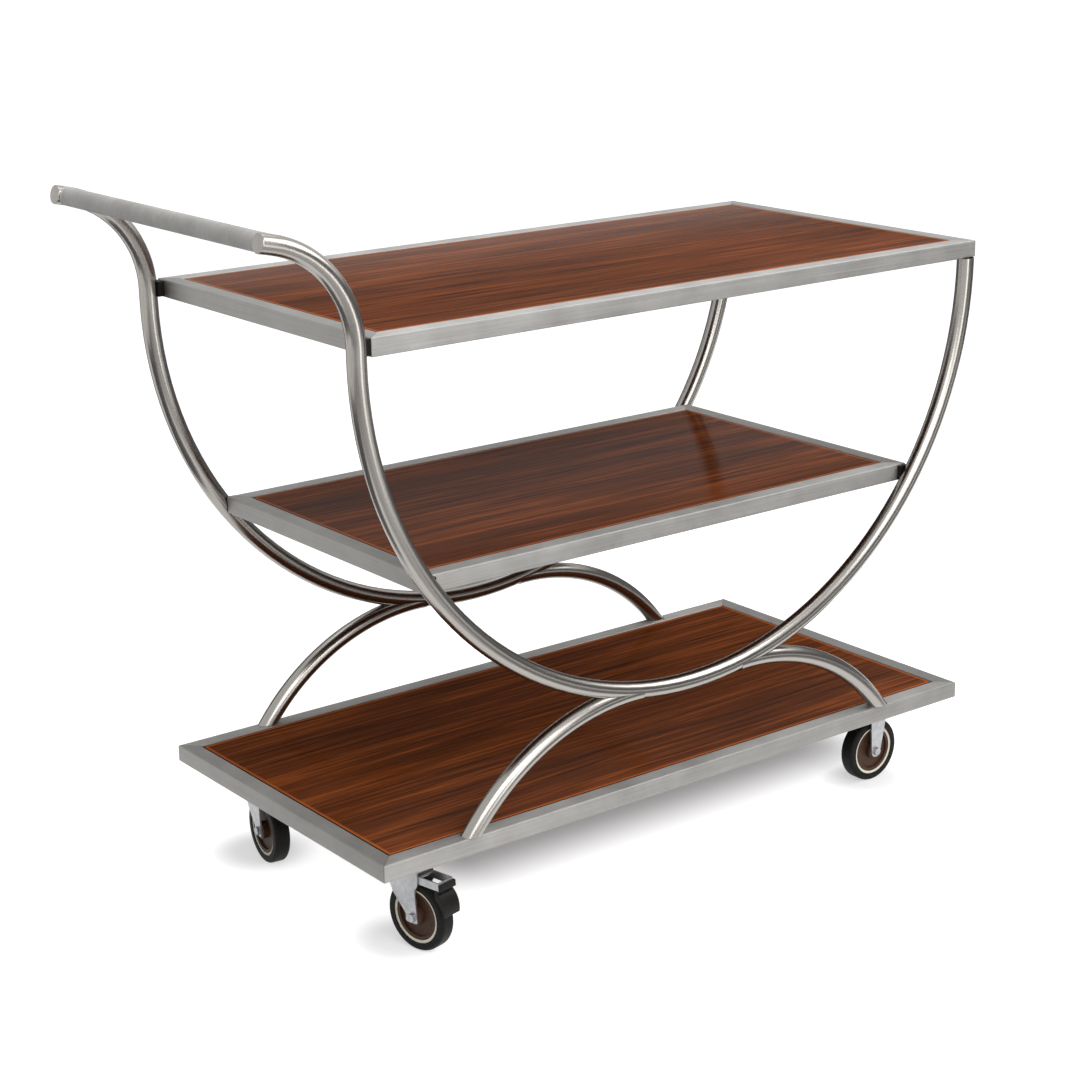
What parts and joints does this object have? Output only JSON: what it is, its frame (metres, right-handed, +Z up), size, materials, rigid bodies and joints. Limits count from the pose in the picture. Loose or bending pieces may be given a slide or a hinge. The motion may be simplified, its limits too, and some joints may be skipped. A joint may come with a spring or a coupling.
{
  "type": "service cart",
  "caption": "Tiered service cart with framed wood-grain shelves hung in bowed tube sides, a push handle, fixed front casters and swivelling rear casters with a foot brake.",
  "frame": {"origin": "on the floor under the middle of the cart's overall box", "axes": "+X forward, away from the push handle, +Y to the left of the person who pushes, +Z up"},
  "size_m": [1.2233, 0.5559, 0.9978],
  "materials": {
    "frame_steel": "brushed stainless steel, lines along each rail",
    "polished_tube": "polished stainless steel",
    "satin_bar": "satin stainless steel",
    "board_laminate": "glossy dark red-brown wood grain",
    "black_spacer": "black moulded plastic",
    "tyre_rubber": "black rubber",
    "cream_liner": "cream plastic",
    "brown_core": "dark brown moulded plastic",
    "black_pedal": "black moulded plastic",
    "zinc_steel": "zinc plated steel"
  },
  "bodies": {
    "base": {"bottom_board": "board_laminate", "bottom_board_ledges": "frame_steel", "bottom_front_rail": "frame_steel", "bottom_left_rail": "frame_steel", "bottom_rear_rail": "frame_steel", "bottom_right_rail": "frame_steel", "caster_bolts": "zinc_steel", "caster_corner_plates": "frame_steel", "front_axle_bolts": "zinc_steel", "front_left_fork": "zinc_steel", "front_left_leg": "polished_tube", "front_right_fork": "zinc_steel", "front_right_leg": "polished_tube", "front_wheel_sleeves": "zinc_steel", "handle_end_caps": "polished_tube", "left_side_tube": "polished_tube", "middle_board": "board_laminate", "middle_board_ledges": "frame_steel", "middle_front_rail": "frame_steel", "middle_left_rail": "frame_steel", "middle_rear_rail": "frame_steel", "middle_right_rail": "frame_steel", "middle_shelf_spacers": "black_spacer", "push_bar": "satin_bar", "rear_left_kingpin": "zinc_steel", "rear_left_leg": "polished_tube", "rear_left_top_plate": "zinc_steel", "rear_right_kingpin": "zinc_steel", "rear_right_leg": "polished_tube", "rear_right_top_plate": "zinc_steel", "right_side_tube": "polished_tube", "swivel_races": "zinc_steel", "top_board": "board_laminate", "top_board_ledges": "frame_steel", "top_front_rail": "frame_steel", "top_left_rail": "frame_steel", "top_rear_rail": "frame_steel", "top_right_rail": "frame_steel", "top_shelf_spacers": "black_spacer"},
    "rear_right_swivel": {"rear_right_fork": "zinc_steel", "rear_right_axle_bolt": "zinc_steel", "rear_right_wheel_sleeve": "zinc_steel", "rear_right_brake_pin": "zinc_steel"},
    "rear_left_swivel": {"rear_left_fork": "zinc_steel", "rear_left_axle_bolt": "zinc_steel", "rear_left_wheel_sleeve": "zinc_steel"},
    "rear_right_brake": {"rear_right_brake_lever": "zinc_steel", "rear_right_brake_pedal": "black_pedal"},
    "rear_right_wheel": {"rear_right_wheel_core": "brown_core", "rear_right_wheel_liner": "cream_liner", "rear_right_tyre": "tyre_rubber"},
    "rear_left_wheel": {"rear_left_wheel_core": "brown_core", "rear_left_wheel_liner": "cream_liner", "rear_left_tyre": "tyre_rubber"},
    "front_right_wheel": {"front_right_wheel_core": "brown_core", "front_right_wheel_liner": "cream_liner", "front_right_tyre": "tyre_rubber"},
    "front_left_wheel": {"front_left_wheel_core": "brown_core", "front_left_wheel_liner": "cream_liner", "front_left_tyre": "tyre_rubber"}
  },
  "joints": [
    {"name": "rear_right_swivel_turn", "type": "hinge", "parent": "base", "child": "rear_right_swivel", "pos_m": [-0.39104, -0.1855, 0.12294], "axis": [0, 0, 1], "continuous": true},
    {"name": "rear_left_swivel_turn", "type": "hinge", "parent": "base", "child": "rear_left_swivel", "pos_m": [-0.39104, 0.1855, 0.12294], "axis": [0, 0, 1], "continuous": true},
    {"name": "rear_right_wheel_roll", "type": "hinge", "parent": "rear_right_swivel", "child": "rear_right_wheel", "pos_m": [-0.38266, -0.22298, 0.05], "axis": [-0.9759, -0.2181, 0], "continuous": true},
    {"name": "rear_left_wheel_roll", "type": "hinge", "parent": "rear_left_swivel", "child": "rear_left_wheel", "pos_m": [-0.39572, 0.14739, 0.05], "axis": [-0.9925, 0.1219, 0], "continuous": true},
    {"name": "front_right_wheel_roll", "type": "hinge", "parent": "base", "child": "front_right_wheel", "pos_m": [0.50296, -0.1855, 0.05], "axis": [0, -1, 0], "continuous": true},
    {"name": "front_left_wheel_roll", "type": "hinge", "parent": "base", "child": "front_left_wheel", "pos_m": [0.50296, 0.1855, 0.05], "axis": [0, -1, 0], "continuous": true},
    {"name": "rear_right_brake_press", "type": "hinge", "parent": "rear_right_swivel", "child": "rear_right_brake", "pos_m": [-0.38157, -0.22786, 0.106], "axis": [0.9759, 0.2181, 0], "range_deg": [0, 6]}
  ]
}
